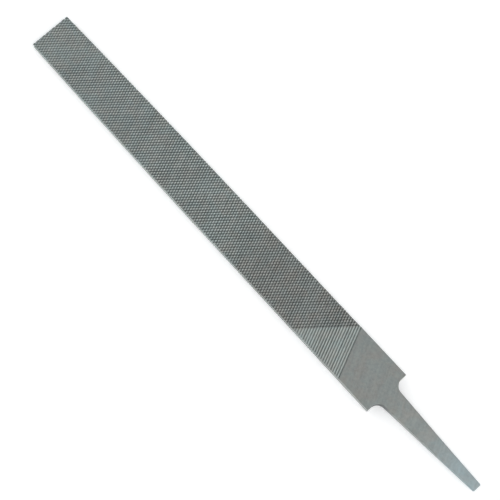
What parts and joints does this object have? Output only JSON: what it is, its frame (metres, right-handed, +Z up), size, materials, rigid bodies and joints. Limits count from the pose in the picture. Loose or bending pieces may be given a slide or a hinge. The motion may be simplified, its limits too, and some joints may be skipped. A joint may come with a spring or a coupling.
{
  "type": "flat file",
  "caption": "Flat metalworking file: double-cut blade with a smooth heel, square shoulders and a bare tapered tang for a push-on handle.",
  "frame": {"origin": "middle of the outer box in plan, at the height of the broad face that the file lies on", "axes": "+X along the file from its tip towards the end of the tang, +Y across the blade, +Z up out of the top broad face"},
  "size_m": [0.249, 0.0204, 0.005],
  "materials": {
    "steel": "hardened tool steel, matt grey as cut and blast-cleaned"
  },
  "bodies": {
    "root": {"file_body": "steel"}
  },
  "joints": []
}
